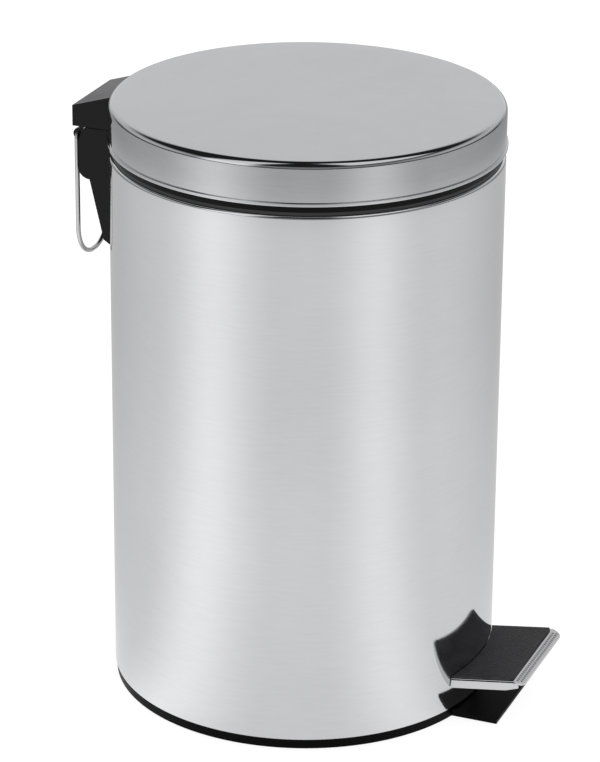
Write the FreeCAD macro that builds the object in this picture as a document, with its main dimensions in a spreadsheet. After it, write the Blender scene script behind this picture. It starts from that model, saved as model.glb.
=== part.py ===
import FreeCAD, Part
import os
import re

import Sketcher
from FreeCAD import Placement, Rotation, Vector

# A round pedal bin of about twelve litres. A steel shell stands on a plastic base. Pressing the
# pedal tips a lever under the bucket, which lifts a push rod behind the bucket, which opens the lid.
# Millimetres. +Z is up, the pedal points to -Y and the lid's hinge is at +Y. The origin is on the
# floor in the middle of the whole outline. Sketches are drawn from the bin's own axis, which stands
# a little behind the origin.

SIZES = {
    "axis_back": 7.15,
    # steel shell
    "body_radius": 125.0,
    "sheet_steel": 0.6,
    "hem_radius": 123.6,
    "hem_corner": 1.2,
    "curl_radius": 2.0,
    "hem_depth": 6.0,
    "shell_bottom": 6.5,
    "shell_top": 359.4,
    "slot_half_width": 13.0,
    "slot_bottom": 9.5,
    "slot_top": 31.5,
    "window_half_width": 8.5,
    "window_bottom": 334.0,
    "passage_depth": 20.0,
    # base pan
    "base_radius": 124.0,
    "spigot_radius": 123.3,
    "spigot_wall": 2.0,
    "base_underside": 0.4,
    "foot_radius": 114.0,
    "foot_top": 4.4,
    "deck_top": 46.0,
    "deck_wall": 2.0,
    "tongue_reach": 149.0,
    "tongue_root": 116.0,
    "tongue_plateau": 123.0,
    "tongue_half_width": 37.0,
    "tongue_lip": 2.4,
    "tongue_top": 5.2,
    "notch_front": 108.0,
    "notch_back": 123.1,
    "notch_floor": 2.4,
    "tail_half_width": 6.5,
    "post_inner": 11.5,
    "post_outer": 15.5,
    "post_half_depth": 5.0,
    "post_bottom": 12.5,
    # rubber feet under the base
    "foot_pad_radius": 4.0,
    "foot_pad_circle": 119.0,
    "foot_pad_top": 2.4,
    "loose_fit": 0.1,
    # pedal
    "fulcrum_back": -45.0,
    "fulcrum_height": 17.0,
    "axle_radius": 2.5,
    "axle_half_length": 17.5,
    "clip_inner": 15.6,
    "clip_thickness": 1.0,
    "clip_radius": 4.6,
    "running_fit": 0.05,
    "lever_half_width": 10.0,
    "lever_thickness": 2.5,
    "lever_front": 154.0,
    "lever_bend": 117.0,
    "lever_tail": 108.0,
    "lever_tail_top": 13.5,
    "ear_wall": 1.5,
    "ear_half_depth": 6.0,
    "ear_bottom": 12.6,
    "tab_half_width": 1.25,
    "tab_start": 98.0,
    "tab_shoulder": 112.0,
    "tab_knee": 116.5,
    "tab_end": 122.1,
    "tab_margin": 2.6,
    "tab_drop": 0.2,
    "tab_root": 1.6,
    "tread_start": 121.0,
    "tread_height": 29.4,
    "tread_slope": 0.1477,
    "tread_tilt": 8.4,
    "tread_half_width": 40.6,
    "tread_length": 46.2,
    "tread_inner_radius": 125.8,
    "tread_corner": 6.0,
    "lip_start": 40.0,
    "lip_drop": 2.8,
    "skirt_taper": 34.0,
    "skirt_tip": 4.1,
    "tread_skirt": 6.5,
    "tread_wall": 1.2,
    "pad_inset": 0.8,
    "pad_front": 39.4,
    "pad_corner": 3.0,
    "pad_thickness": 1.6,
    "rivet_radius": 2.4,
    "rivet_head": 4.2,
    "rivet_head_height": 1.6,
    "rivet_clearance": 0.4,
    "rivet_first": -12.0,
    "rivet_second": -28.0,
    # push rod
    "rod_line": 119.5,
    "rod_side": -4.0,
    "wire_radius": 1.5,
    "rod_low": 6.5,
    "rod_high": 347.16,
    "rod_bend": 3.0,
    "hook_end": 4.6,
    "rod_clip_start": 2.4,
    "rod_clip_thickness": 1.2,
    "rod_clip_radius": 3.0,
    "guide_bottom": 190.0,
    "guide_height": 12.0,
    "guide_front": 114.6,
    "guide_slot_front": 116.8,
    "guide_slot_back": 123.2,
    "guide_left": -9.0,
    "guide_right": 1.0,
    "guide_slot_half": 1.9,
    # inner bucket
    "bucket_bottom": 52.0,
    "bucket_foot_radius": 98.5,
    "bucket_radius": 105.0,
    "bucket_wall": 1.8,
    "bucket_rim_radius": 109.5,
    "bucket_rim_bottom": 361.0,
    "bucket_rim_top": 363.0,
    "bucket_neck": 358.0,
    "lug_inner": 105.5,
    "lug_outer": 108.5,
    "lug_half_depth": 5.0,
    "lug_top": 370.0,
    "bail_height": 366.5,
    "bail_end": 109.6,
    "bail_radius": 101.0,
    "bail_bend": 4.0,
    "wire_fit": 0.08,
    # collar on top of the shell
    "collar_radius": 123.4,
    "collar_neck": 122.6,
    "collar_step": 355.4,
    "collar_seat": 359.6,
    "collar_bottom": 346.0,
    "collar_top": 365.0,
    "collar_wall": 2.2,
    "ledge_radius": 105.8,
    "ledge_wall": 110.4,
    "ledge_cut": 110.0,
    "buffer_radius": 2.2,
    "buffer_circle": 120.4,
    "buffer_bottom": 363.8,
    "buffer_top": 365.6,
    # lid
    "lid_bottom": 365.7,
    "lid_top": 393.4,
    "lid_bead": 126.1,
    "lid_bead_height": 2.4,
    "lid_hem": 120.6,
    "lid_hem_wall": 0.9,
    "lid_shoulder": 390.03,
    "lid_edge_radius": 122.91,
    "lid_edge_height": 392.5,
    "lid_corner": 2.5,
    "lid_flat_radius": 112.0,
    "lid_crown": 66.7,
    "web_slot_half": 1.8,
    "web_slot_top": 384.0,
    # hinge
    "hinge_back": 141.5,
    "hinge_height": 362.0,
    "pin_radius": 2.0,
    "pin_half_length": 26.0,
    "web_half_width": 0.75,
    "hinge_root": 118.8,
    "arm_forward": 0.829,
    "arm_down": 0.5592,
    "arm_half_height": 4.4,
    "arm_tip_half": 2.0,
    "arm_shoulder": 28.6,
    "arm_end": 30.6,
    "arm_slot_start": 19.9,
    "arm_slot_end": 29.0,
    "arm_slot_half": 2.65,
    "web_front_gap": 28.0,
    "web_lift": 4.0,
    "web_forward": 41.5,
    "web_rise": 16.0,
    "web_back": 7.5,
    "web_shoulder": 14.0,
    "web_corner_back": 121.4,
    "web_corner_height": 384.6,
    "bracket_front": 62.0,
    "bracket_back": 108.0,
    "bracket_width": 16.0,
    "bracket_wall": 1.5,
    "bracket_nose": 5.5,
    "bracket_gap": 0.05,
    "hinge_half_width": 29.0,
    "hinge_rear": 149.5,
    "housing_rear": 145.7,
    "housing_top": 364.2,
    "hinge_inner_radius": 125.25,
    "bead_clearance": 126.5,
    "cover_wall": 2.0,
    "cover_bottom": 365.0,
    "cover_slope_front": 121.8,
    "cover_ear_radius": 4.0,
    "cover_block_depth": 13.0,
    "cover_block_top": 380.6,
    "bead_room": 368.6,
    "cover_front_top": 387.2,
    "cover_rear_top": 378.6,
    "cover_notch_inner": 15.2,
    "cover_notch_outer": 26.0,
    "cover_notch_top": 374.6,
    "cover_ear_inner": 22.0,
    "cover_ear_outer": 25.5,
    "cover_screw_side": 10.0,
    "cover_screw_height": 376.0,
    "screw_block": 3.2,
    "screw_radius": 1.45,
    "screw_fit": 0.03,
    "screw_head": 3.0,
    "screw_seat": 123.2,
    "screw_head_height": 2.2,
    "rib_inner": 16.5,
    "rib_outer": 20.5,
    "rib_back": 144.7,
    "rib_bottom": 338.0,
    "rib_knee": 347.0,
    "rib_root_top": 355.5,
    "boss_shoulder": 0.7071,
    "boss_radius": 4.6,
    "handle_back": 149.2,
    "handle_height": 357.0,
    "handle_ear": 3.8,
    "handle_side": 23.5,
    "handle_end": 15.8,
    "handle_bottom": 272.5,
    "handle_corner": 22.0,
    "handle_bend": 2.5,
    "housing_screw_side": 13.0,
    "housing_screw_high": 340.0,
    "housing_screw_low": 318.0,
    "housing_wall": 2.2,
    "housing_tip": 288.0,
    "housing_tip_back": 128.8,
    "housing_tip_rise": 290.6,
    "housing_knee_back": 138.2,
    "housing_knee": 330.2,
    "housing_heel": 335.4,
    "housing_heel_radius": 8.0,
    "housing_shoulder": 354.5,
    "housing_bevel": 1.8,
    "knuckle_gap": 356.9,
    "high_block_depth": 21.0,
    "low_block_depth": 11.0,
    "block_root": 123.0,
    "screw_reach": 7.0,
    "cover_screw_reach": 9.0,
}


class Size:
    """A number that remembers the spreadsheet expression it comes from."""

    def __init__(self, value, text):
        self.value = value
        self.text = text

    def __add__(self, other):
        other = as_size(other)
        return Size(self.value + other.value, f"({self.text} + {other.text})")

    def __sub__(self, other):
        other = as_size(other)
        return Size(self.value - other.value, f"({self.text} - {other.text})")

    def __rsub__(self, other):
        return as_size(other) - self

    def __mul__(self, other):
        other = as_size(other)
        return Size(self.value * other.value, f"({self.text} * {other.text})")

    def __neg__(self):
        return Size(-self.value, f"(-1 * {self.text})")

    __radd__ = __add__
    __rmul__ = __mul__

    def root(self):
        return Size(self.value ** 0.5, f"sqrt({self.text})")


def as_size(number):
    return number if isinstance(number, Size) else Size(float(number), repr(float(number)))


class Sheet:
    """The spreadsheet of driving sizes. sheet.lid_top is the Size in the cell of that alias."""

    def __init__(self, doc):
        cells = doc.addObject("Spreadsheet::Sheet", "Sizes")
        for row, (name, number) in enumerate(SIZES.items(), 1):
            cells.set(f"A{row}", name)
            cells.set(f"B{row}", str(number))
            cells.setAlias(f"B{row}", name)
        doc.recompute()
        for name in SIZES:
            setattr(self, name, Size(float(getattr(cells, name)), f"Sizes.{name}"))


def bind(thing, path, size):
    """Ties a property to the sheet when the size comes from there, and sets it plainly otherwise."""
    if "Sizes." in as_size(size).text:
        thing.setExpression(path, size.text)


def new_body(doc, s, label):
    """A body whose own origin is on the bin's axis."""
    body = doc.addObject("PartDesign::Body", label)
    body.Label = label
    body.AllowCompound = True
    body.Placement = Placement(Vector(0, s.axis_back.value, 0), Rotation())
    bind(body, "Placement.Base.y", s.axis_back)
    return body


def new_sketch(body, plane, shift=0.0):
    """A sketch on one of the body's own planes: XY, XZ (facing -Y) or YZ, moved along its normal."""
    sketch = body.newObject("Sketcher::SketchObject", f"{body.Label}_sketch")
    base = [item for item in body.Origin.OriginFeatures if item.Role == f"{plane}_Plane"][0]
    sketch.AttachmentSupport = [(base, "")]
    sketch.MapMode = "FlatFace"
    sketch.AttachmentOffset = Placement(Vector(0, 0, as_size(shift).value), Rotation())
    bind(sketch, "AttachmentOffset.Base.z", shift)
    return sketch


def constrain(sketch, kind, edge, position, size):
    """Holds one coordinate of a sketch point at a size from the sheet."""
    size = as_size(size)
    if abs(size.value) < 1e-9:
        axis = -2 if kind == "DistanceX" else -1
        sketch.addConstraint(Sketcher.Constraint("PointOnObject", edge, position, axis))
        return
    index = sketch.addConstraint(Sketcher.Constraint(kind, -1, 1, edge, position, size.value))
    bind(sketch, f"Constraints[{index}]", size)


def flat(point):
    return Vector(as_size(point[0]).value, as_size(point[1]).value, 0)


def add_edge(sketch, here, step):
    """Adds a straight or round edge. Returns its index and which of its ends is which."""
    start, end = flat(here), flat(step)
    if len(step) == 2:
        return sketch.addGeometry(Part.LineSegment(start, end), False), 1, 2
    radius, turn = as_size(step[2]), step[3]
    middle = (start + end) * 0.5
    half = (end - start).Length / 2
    across = Vector(start.y - end.y, end.x - start.x, 0).normalize()
    side = 1 if turn == "left" else -1
    reach = max(radius.value ** 2 - half ** 2, 0.0) ** 0.5
    centre = middle + across * (side * reach)
    crown = centre - across * (side * radius.value)
    edge = sketch.addGeometry(Part.Arc(start, crown, end), False)
    first = sketch.getPoint(edge, 1)
    order = (1, 2) if (first - start).Length < (first - end).Length else (2, 1)
    index = sketch.addConstraint(Sketcher.Constraint("Radius", edge, radius.value))
    bind(sketch, f"Constraints[{index}]", radius)
    return (edge,) + order


def outline(sketch, start, *steps, closed=True):
    """Draws edges from point to point. A step is (x, y), or (x, y, radius, "left" or "right")
    for an arc that bends that way. Every point is held by sizes from the sheet."""
    if closed:
        steps = steps + (start,)
    here = start
    edges = []
    for step in steps:
        edge, begin, end = add_edge(sketch, here, step)
        constrain(sketch, "DistanceX", edge, begin, here[0])
        constrain(sketch, "DistanceY", edge, begin, here[1])
        if edges:
            sketch.addConstraint(Sketcher.Constraint("Coincident", edges[-1][0], edges[-1][2], edge, begin))
        edges.append((edge, begin, end))
        here = step[:2]
    if closed:
        last, first = edges[-1], edges[0]
        sketch.addConstraint(Sketcher.Constraint("Coincident", last[0], last[2], first[0], first[1]))
    else:
        constrain(sketch, "DistanceX", edges[-1][0], edges[-1][2], here[0])
        constrain(sketch, "DistanceY", edges[-1][0], edges[-1][2], here[1])


def rectangle(sketch, low_x, low_y, high_x, high_y):
    outline(sketch, (low_x, low_y), (high_x, low_y), (high_x, high_y), (low_x, high_y))


def circle(sketch, x, y, radius):
    x, y, radius = as_size(x), as_size(y), as_size(radius)
    ring = sketch.addGeometry(Part.Circle(flat((x, y)), Vector(0, 0, 1), radius.value), False)
    constrain(sketch, "DistanceX", ring, 3, x)
    constrain(sketch, "DistanceY", ring, 3, y)
    index = sketch.addConstraint(Sketcher.Constraint("Radius", ring, radius.value))
    bind(sketch, f"Constraints[{index}]", radius)


def extrude(kind, body, sketch, length, both_ways=True, reverse=False):
    feature = body.newObject(f"PartDesign::{kind}", f"{body.Label}_{kind}")
    feature.Profile = sketch
    feature.Length = as_size(length).value
    feature.Midplane = both_ways
    feature.Reversed = reverse
    bind(feature, "Length", length)
    return feature


def pad(body, sketch, length, both_ways=True, reverse=False):
    return extrude("Pad", body, sketch, length, both_ways, reverse)


def pocket(body, sketch, length, both_ways=True, reverse=False):
    return extrude("Pocket", body, sketch, length, both_ways, reverse)


def revolve(body, sketch):
    feature = body.newObject("PartDesign::Revolution", f"{body.Label}_Revolution")
    feature.Profile = sketch
    feature.ReferenceAxis = (sketch, ["V_Axis"])
    feature.Angle = 360
    return feature


def sweep(body, path, profile):
    feature = body.newObject("PartDesign::AdditivePipe", f"{body.Label}_Pipe")
    feature.Profile = profile
    feature.Spine = path
    return feature


def cylinder_across(doc, label, radius, half_length, y, z):
    """A plain pin that lies along X."""
    pin = doc.addObject("Part::Cylinder", label)
    pin.Label = label
    bind(pin, "Radius", radius)
    bind(pin, "Height", half_length * 2)
    place = Vector(-half_length.value, y.value, z.value)
    pin.Placement = Placement(place, Rotation(Vector(0, 1, 0), 90))
    bind(pin, "Placement.Base.x", -half_length)
    bind(pin, "Placement.Base.y", y)
    bind(pin, "Placement.Base.z", z)
    return pin


def make_outer_shell(doc, s):
    """The rolled steel tube: curled in at the top, hemmed at the bottom, with the lever's slot and
    the rod's window."""
    body = new_body(doc, s, "outer_shell")
    inside = s.body_radius - s.sheet_steel
    profile = new_sketch(body, "XZ")
    outline(
        profile,
        (s.body_radius - s.hem_corner, s.shell_bottom),
        (s.body_radius, s.shell_bottom + s.hem_corner, s.hem_corner, "left"),
        (s.body_radius, s.shell_top - s.curl_radius),
        (s.body_radius - s.curl_radius, s.shell_top, s.curl_radius, "left"),
        (s.body_radius - s.curl_radius, s.shell_top - s.sheet_steel),
        (inside, s.shell_top - s.curl_radius, s.curl_radius - s.sheet_steel, "right"),
        (inside, s.shell_bottom + s.hem_depth),
        (s.hem_radius, s.shell_bottom + s.hem_depth),
        (s.hem_radius, s.shell_bottom),
    )
    revolve(body, profile)
    slot = new_sketch(body, "XZ", s.body_radius)
    rectangle(slot, -s.slot_half_width, s.slot_bottom, s.slot_half_width, s.slot_top)
    pocket(body, slot, s.passage_depth)
    window = new_sketch(body, "XZ", -s.body_radius)
    rectangle(window, -s.window_half_width, s.window_bottom, s.window_half_width, s.shell_top + 1)
    pocket(body, window, s.passage_depth)
    holes = new_sketch(body, "XZ", -s.body_radius)
    for side in (-s.housing_screw_side, s.housing_screw_side):
        for height in (s.housing_screw_low, s.housing_screw_high):
            circle(holes, side, height, s.screw_radius + s.loose_fit)
    pocket(body, holes, s.passage_depth)
    return body


def make_base_pan(doc, s):
    """The plastic base: a foot ring, a spigot inside the shell, a deck over the lever and a tongue."""
    body = new_body(doc, s, "base_pan")
    inside = s.spigot_radius - s.spigot_wall
    under = s.deck_top - s.deck_wall
    profile = new_sketch(body, "XZ")
    outline(
        profile,
        (s.foot_radius, s.base_underside),
        (s.base_radius, s.base_underside),
        (s.base_radius, s.shell_bottom),
        (s.spigot_radius, s.shell_bottom),
        (s.spigot_radius, s.deck_top),
        (0, s.deck_top),
        (0, under),
        (inside, under),
        (inside, s.foot_top),
        (s.foot_radius, s.foot_top),
    )
    revolve(body, profile)

    tongue = new_sketch(body, "YZ")
    outline(
        tongue,
        (-s.tongue_reach, s.base_underside),
        (-s.tongue_root, s.base_underside),
        (-s.tongue_root, s.tongue_top),
        (-s.tongue_plateau, s.tongue_top),
        (-s.tongue_reach, s.tongue_lip),
    )
    pad(body, tongue, s.tongue_half_width * 2)

    posts = new_sketch(body, "XY", s.post_bottom)
    front = s.fulcrum_back - s.post_half_depth
    back = s.fulcrum_back + s.post_half_depth
    rectangle(posts, s.post_inner, front, s.post_outer, back)
    rectangle(posts, -s.post_outer, front, -s.post_inner, back)
    pad(body, posts, under + 1 - s.post_bottom, both_ways=False)

    axle_hole = new_sketch(body, "YZ")
    circle(axle_hole, s.fulcrum_back, s.fulcrum_height, s.axle_radius + s.screw_fit)
    pocket(body, axle_hole, s.post_outer * 3)

    lever_slot = new_sketch(body, "XZ", s.spigot_radius)
    rectangle(lever_slot, -s.slot_half_width, s.slot_bottom - 2, s.slot_half_width, s.slot_top + 2)
    pocket(body, lever_slot, s.passage_depth)

    tail_notch = new_sketch(body, "XY", s.notch_floor)
    rectangle(tail_notch, -s.tail_half_width, s.notch_front, s.tail_half_width, s.notch_back)
    pocket(body, tail_notch, s.deck_top, both_ways=False, reverse=True)
    rod_notch = new_sketch(body, "XY", s.shell_bottom)
    rectangle(rod_notch, -s.window_half_width, s.notch_front, s.window_half_width, s.base_radius)
    pocket(body, rod_notch, s.deck_top, both_ways=False, reverse=True)

    recesses = new_sketch(body, "XY")
    foot_pad_circles(recesses, s, s.foot_pad_radius + s.loose_fit)
    pocket(body, recesses, s.foot_pad_top, both_ways=False, reverse=True)
    return body


def foot_pad_circles(sketch, s, radius):
    """Four circles on the foot ring's diagonals."""
    diagonal = s.foot_pad_circle * as_size(0.5).root()
    for side in (-diagonal, diagonal):
        for end in (-diagonal, diagonal):
            circle(sketch, side, end, radius)


def make_anti_slip_pads(doc, s):
    """Four rubber discs pressed into the underside of the base."""
    body = new_body(doc, s, "anti_slip_pads")
    sketch = new_sketch(body, "XY")
    foot_pad_circles(sketch, s, s.foot_pad_radius)
    pad(body, sketch, s.foot_pad_top, both_ways=False)
    return body


def lever_top(s, distance):
    """Height of the lever's upper face at a distance in front of the bin's axis, under the tread."""
    under = s.tread_height - s.tread_wall - s.loose_fit
    return under + (distance - s.tread_start) * s.tread_slope


def make_pedal_lever(doc, s):
    """The long steel lever: tread end, bar with two ears for the axle, and a tab for the rod."""
    body = new_body(doc, s, "pedal_lever")
    thick = s.lever_thickness
    front, bend = lever_top(s, s.lever_front), lever_top(s, s.lever_bend)
    bar = new_sketch(body, "YZ")
    outline(
        bar,
        (-s.lever_front, front - thick),
        (-s.lever_bend, bend - thick),
        (s.lever_tail, s.lever_tail_top - thick),
        (s.lever_tail, s.lever_tail_top),
        (-s.lever_bend, bend),
        (-s.lever_front, front),
    )
    pad(body, bar, s.lever_half_width * 2)

    ears = new_sketch(body, "XY", s.ear_bottom)
    first = s.fulcrum_back - s.ear_half_depth
    last = s.fulcrum_back + s.ear_half_depth
    inner = s.lever_half_width - s.ear_wall
    rectangle(ears, inner, first, s.lever_half_width, last)
    rectangle(ears, -s.lever_half_width, first, -inner, last)
    pad(body, ears, s.fulcrum_height + s.lever_thickness * 2 - s.ear_bottom, both_ways=False)

    tab = new_sketch(body, "YZ")
    tab_low = s.rod_low - s.tab_margin
    tab_top = s.lever_tail_top - s.tab_drop
    outline(
        tab,
        (s.tab_start, tab_top - s.tab_root),
        (s.tab_knee, tab_low),
        (s.tab_end, tab_low),
        (s.tab_end, s.rod_low + thick),
        (s.tab_shoulder, tab_top),
        (s.tab_start, tab_top),
    )
    pad(body, tab, s.tab_half_width * 2)

    holes = new_sketch(body, "YZ")
    circle(holes, s.fulcrum_back, s.fulcrum_height, s.axle_radius + s.running_fit)
    circle(holes, s.rod_line, s.rod_low, s.wire_radius + s.running_fit)
    pocket(body, holes, s.lever_half_width * 3)

    rivet_holes = new_sketch(body, "XY", s.lever_tail_top)
    for place in (s.rivet_first, s.rivet_second):
        circle(rivet_holes, 0, place - s.tread_start, s.rivet_radius + s.rivet_clearance)
    pocket(body, rivet_holes, s.passage_depth * 1.5, both_ways=False, reverse=True)
    return body


def tread_outline(sketch, s, side, front, corner):
    """A plate seen from above: its inner edge hugs the shell, and its outer corners are round."""
    inner = s.tread_inner_radius
    root = s.tread_start - (inner * inner - side * side).root()
    outline(
        sketch,
        (-side, root),
        (side, root, inner, "left"),
        (side, -front + corner),
        (side - corner, -front, corner, "right"),
        (-side + corner, -front),
        (-side, -front + corner, corner, "right"),
    )


def tip_tread(body, s):
    """Moves a piece drawn flat to the tread's place and slope."""
    back = s.axis_back - s.tread_start
    place = Vector(0, back.value, s.tread_height.value)
    body.Placement = Placement(place, Rotation(Vector(1, 0, 0), -s.tread_tilt.value))
    bind(body, "Placement.Base.y", back)
    bind(body, "Placement.Base.z", s.tread_height)


def make_pedal_plate(doc, s):
    """The chromed tread: a pressed plate with a skirt on each side and a sloping lip in front."""
    body = new_body(doc, s, "pedal_plate")
    wall, skirt = s.tread_wall, s.tread_skirt
    sketch = new_sketch(body, "XY")
    tread_outline(sketch, s, s.tread_half_width, s.tread_length, s.tread_corner)
    pad(body, sketch, skirt, both_ways=False, reverse=True)

    beyond = s.tread_length * 2 - s.lip_start
    above_lip = new_sketch(body, "YZ")
    outline(
        above_lip,
        (-s.lip_start, 0),
        (-beyond, s.lip_drop * -2),
        (-beyond, wall),
        (-s.lip_start, wall),
    )
    pocket(body, above_lip, s.tread_half_width * 3)
    hollow = new_sketch(body, "YZ")
    outline(
        hollow,
        (s.tread_corner, -wall),
        (-s.lip_start, -wall),
        (-beyond, s.lip_drop * -2 - wall),
        (-beyond, skirt * -2),
        (s.tread_corner, skirt * -2),
    )
    pocket(body, hollow, (s.tread_half_width - wall) * 2)
    below_skirt = new_sketch(body, "YZ")
    taper_end = s.tread_length * 2 - s.skirt_taper
    outline(
        below_skirt,
        (-s.skirt_taper, -skirt),
        (-s.skirt_taper, skirt * -2),
        (-taper_end, skirt * -2),
        (-taper_end, skirt - s.skirt_tip * 2),
    )
    pocket(body, below_skirt, s.tread_half_width * 3)

    holes = new_sketch(body, "XY")
    for place in (s.rivet_first, s.rivet_second):
        circle(holes, 0, place, s.rivet_radius + s.running_fit)
    pocket(body, holes, skirt)
    tip_tread(body, s)
    return body


def make_pedal_pad(doc, s):
    """The rubber pad glued on the tread."""
    body = new_body(doc, s, "pedal_pad")
    sketch = new_sketch(body, "XY", s.screw_fit)
    side = s.tread_half_width - s.pad_inset
    tread_outline(sketch, s, side, s.pad_front, s.pad_corner)
    pad(body, sketch, s.pad_thickness, both_ways=False)
    tip_tread(body, s)
    return body


def make_pedal_rivets(doc, s):
    """Two rivets that join the tread to the lever. Their heads are under the lever."""
    body = new_body(doc, s, "pedal_rivets")
    foot = -(s.tread_wall + s.lever_thickness + s.loose_fit * 2)
    shanks = new_sketch(body, "XY")
    heads = new_sketch(body, "XY", foot)
    for place in (s.rivet_first, s.rivet_second):
        circle(shanks, 0, place, s.rivet_radius)
        circle(heads, 0, place, s.rivet_head)
    pad(body, shanks, -foot, both_ways=False, reverse=True)
    pad(body, heads, s.rivet_head_height, both_ways=False, reverse=True)
    tip_tread(body, s)
    return body


def make_axle_clips(doc, s):
    """A spring washer on each end of the pedal's axle."""
    body = new_body(doc, s, "axle_clips")
    for shift in (s.clip_inner, -(s.clip_inner + s.clip_thickness)):
        sketch = new_sketch(body, "YZ", shift)
        circle(sketch, s.fulcrum_back, s.fulcrum_height, s.clip_radius)
        circle(sketch, s.fulcrum_back, s.fulcrum_height, s.axle_radius + s.screw_fit)
        pad(body, sketch, s.clip_thickness, both_ways=False)
    return body


def make_push_rod(doc, s):
    """The wire behind the bucket. Each end is a hook that points along X."""
    body = new_body(doc, s, "push_rod")
    turn = s.rod_side + s.rod_bend
    path = new_sketch(body, "XZ", -s.rod_line)
    outline(
        path,
        (s.hook_end, s.rod_low),
        (turn, s.rod_low),
        (s.rod_side, s.rod_low + s.rod_bend, s.rod_bend, "right"),
        (s.rod_side, s.rod_high - s.rod_bend),
        (turn, s.rod_high, s.rod_bend, "right"),
        (s.hook_end, s.rod_high),
        closed=False,
    )
    section = new_sketch(body, "YZ", s.hook_end)
    circle(section, s.rod_line, s.rod_low, s.wire_radius)
    sweep(body, path, section)
    return body


def make_rod_clips(doc, s):
    """A push-on clip on each hook keeps the rod in its holes."""
    body = new_body(doc, s, "rod_clips")
    sketch = new_sketch(body, "YZ", s.rod_clip_start)
    for height in (s.rod_low, s.rod_high):
        circle(sketch, s.rod_line, height, s.rod_clip_radius)
        circle(sketch, s.rod_line, height, s.wire_radius + s.screw_fit)
    pad(body, sketch, s.rod_clip_thickness, both_ways=False)
    return body


def make_rod_guide(doc, s):
    """A plastic guide on the shell's inner face, half way up, which steadies the rod."""
    body = new_body(doc, s, "rod_guide")
    block = new_sketch(body, "XY", s.guide_bottom)
    rectangle(block, s.guide_left, s.guide_front, s.guide_right, s.body_radius - 2)
    pad(body, block, s.guide_height, both_ways=False)
    rim = new_sketch(body, "XY", s.guide_bottom)
    circle(rim, 0, 0, s.body_radius * 1.2)
    circle(rim, 0, 0, s.body_radius - s.sheet_steel - s.loose_fit)
    pocket(body, rim, s.guide_height * 3)
    slot = new_sketch(body, "XY", s.guide_bottom)
    left = s.rod_side - s.guide_slot_half
    right = s.rod_side + s.guide_slot_half
    rectangle(slot, left, s.guide_slot_front, right, s.guide_slot_back)
    pocket(body, slot, s.guide_height * 3)
    return body


def make_inner_bucket(doc, s):
    """The plastic liner, hanging by its rim on the collar's ledge, with two lugs for its handle."""
    body = new_body(doc, s, "inner_bucket")
    wall = s.bucket_wall
    profile = new_sketch(body, "XZ")
    outline(
        profile,
        (0, s.bucket_bottom),
        (s.bucket_foot_radius - 2, s.bucket_bottom),
        (s.bucket_foot_radius, s.bucket_bottom + 2),
        (s.bucket_radius, s.bucket_neck),
        (s.bucket_radius, s.bucket_rim_bottom),
        (s.bucket_rim_radius, s.bucket_rim_bottom),
        (s.bucket_rim_radius, s.bucket_rim_top),
        (s.bucket_radius - wall, s.bucket_rim_top),
        (s.bucket_radius - wall, s.bucket_neck),
        (s.bucket_foot_radius - wall, s.bucket_bottom + 2 + wall),
        (s.bucket_foot_radius - 2 - wall, s.bucket_bottom + wall),
        (0, s.bucket_bottom + wall),
    )
    revolve(body, profile)
    lugs = new_sketch(body, "XY", s.bucket_rim_bottom + 1)
    rectangle(lugs, s.lug_inner, -s.lug_half_depth, s.lug_outer, s.lug_half_depth)
    rectangle(lugs, -s.lug_outer, -s.lug_half_depth, -s.lug_inner, s.lug_half_depth)
    pad(body, lugs, s.lug_top - s.bucket_rim_bottom - 1, both_ways=False)
    holes = new_sketch(body, "YZ")
    circle(holes, 0, s.bail_height, s.wire_radius + s.wire_fit)
    pocket(body, holes, s.lug_outer * 2.1)
    return body


def make_bucket_bail(doc, s):
    """The bucket's wire handle, lying on the rim towards the pedal."""
    body = new_body(doc, s, "bucket_bail")
    turn = s.bail_radius + s.bail_bend
    path = new_sketch(body, "XY", s.bail_height)
    outline(
        path,
        (s.bail_end, 0),
        (turn, 0),
        (s.bail_radius, -s.bail_bend, s.bail_bend, "left"),
        (0, -s.bail_bend - s.bail_radius, s.bail_radius, "right"),
        (-s.bail_radius, -s.bail_bend, s.bail_radius, "right"),
        (-turn, 0, s.bail_bend, "left"),
        (-s.bail_end, 0),
        closed=False,
    )
    section = new_sketch(body, "YZ", s.bail_end)
    circle(section, 0, s.bail_height, s.wire_radius)
    sweep(body, path, section)
    return body


def buffer_circles(sketch, s, radius):
    """Three circles on the collar, one of them above the pedal."""
    across = s.buffer_circle * as_size(0.75).root()
    circle(sketch, 0, -s.buffer_circle, radius)
    circle(sketch, across, s.buffer_circle * 0.5, radius)
    circle(sketch, -across, s.buffer_circle * 0.5, radius)


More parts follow.
